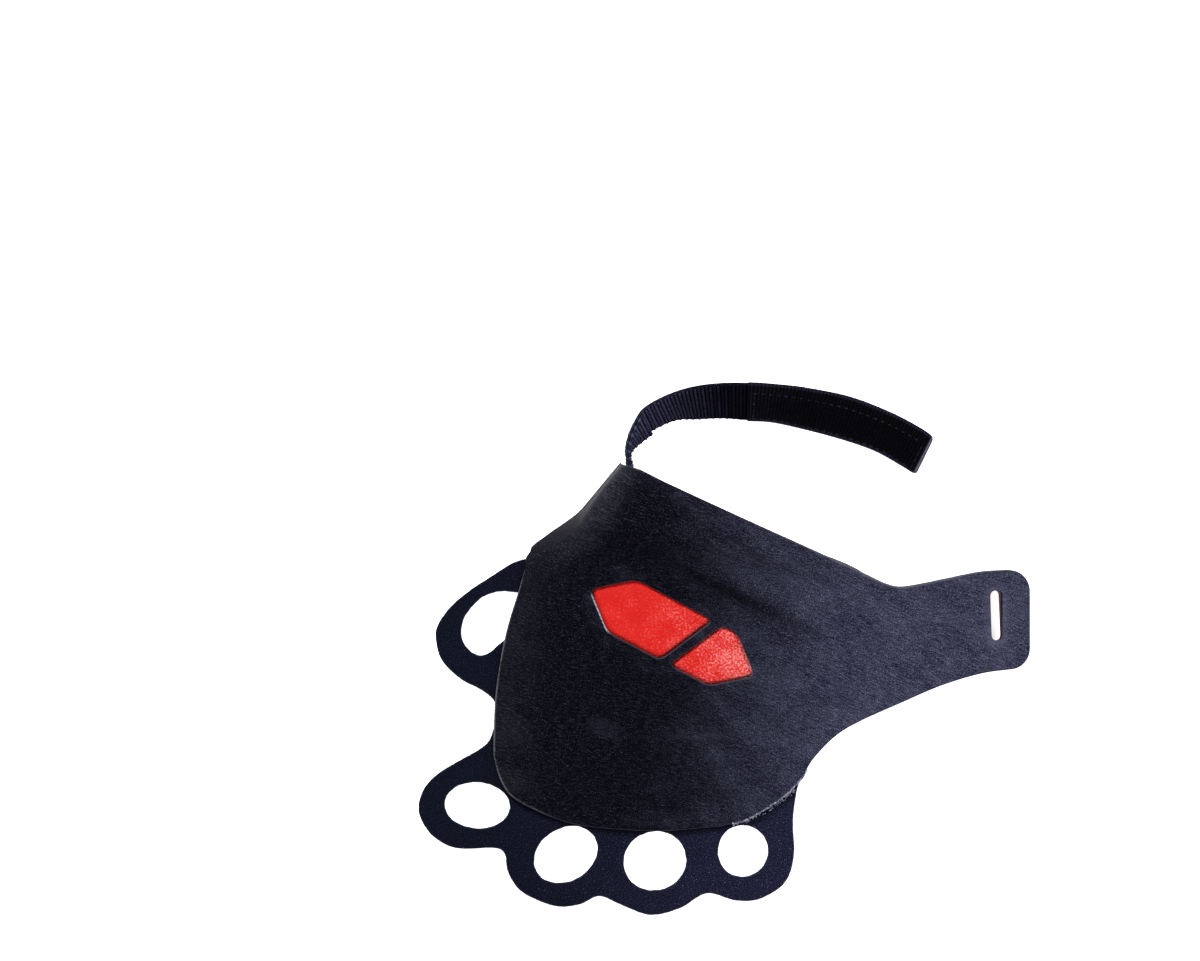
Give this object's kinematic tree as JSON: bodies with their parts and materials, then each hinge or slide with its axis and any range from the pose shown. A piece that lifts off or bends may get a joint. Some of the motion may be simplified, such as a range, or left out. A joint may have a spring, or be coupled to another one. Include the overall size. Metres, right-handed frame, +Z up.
{
  "type": "crack climbing glove",
  "caption": "Open crack climbing glove: rubber back-of-hand panel with a slotted wrist tab, finger and thumb loops, red lining and a webbing wrist strap.",
  "frame": {"origin": "bottom centre of the glove's box, on the surface that it lies on", "axes": "+Z up from the surface, +X from the thumb loop to the wrist tab, -Y towards the fingers"},
  "size_m": [0.2035, 0.1775, 0.0237],
  "materials": {
    "panel_rubber": "matt black rubber with a fine brushed grain",
    "loop_microfibre": "matt dark navy microfibre",
    "red_lining": "brushed red suede-like microfibre",
    "strap_webbing": "ribbed black polyester webbing",
    "hook_tape": "black hook tape with a stitched border"
  },
  "bodies": {
    "root": {"hand_panel": "panel_rubber", "finger_loops": "loop_microfibre", "palm_lining": "red_lining", "wrist_strap": "strap_webbing", "strap_backing": "strap_webbing", "hook_patch": "hook_tape"}
  },
  "joints": []
}
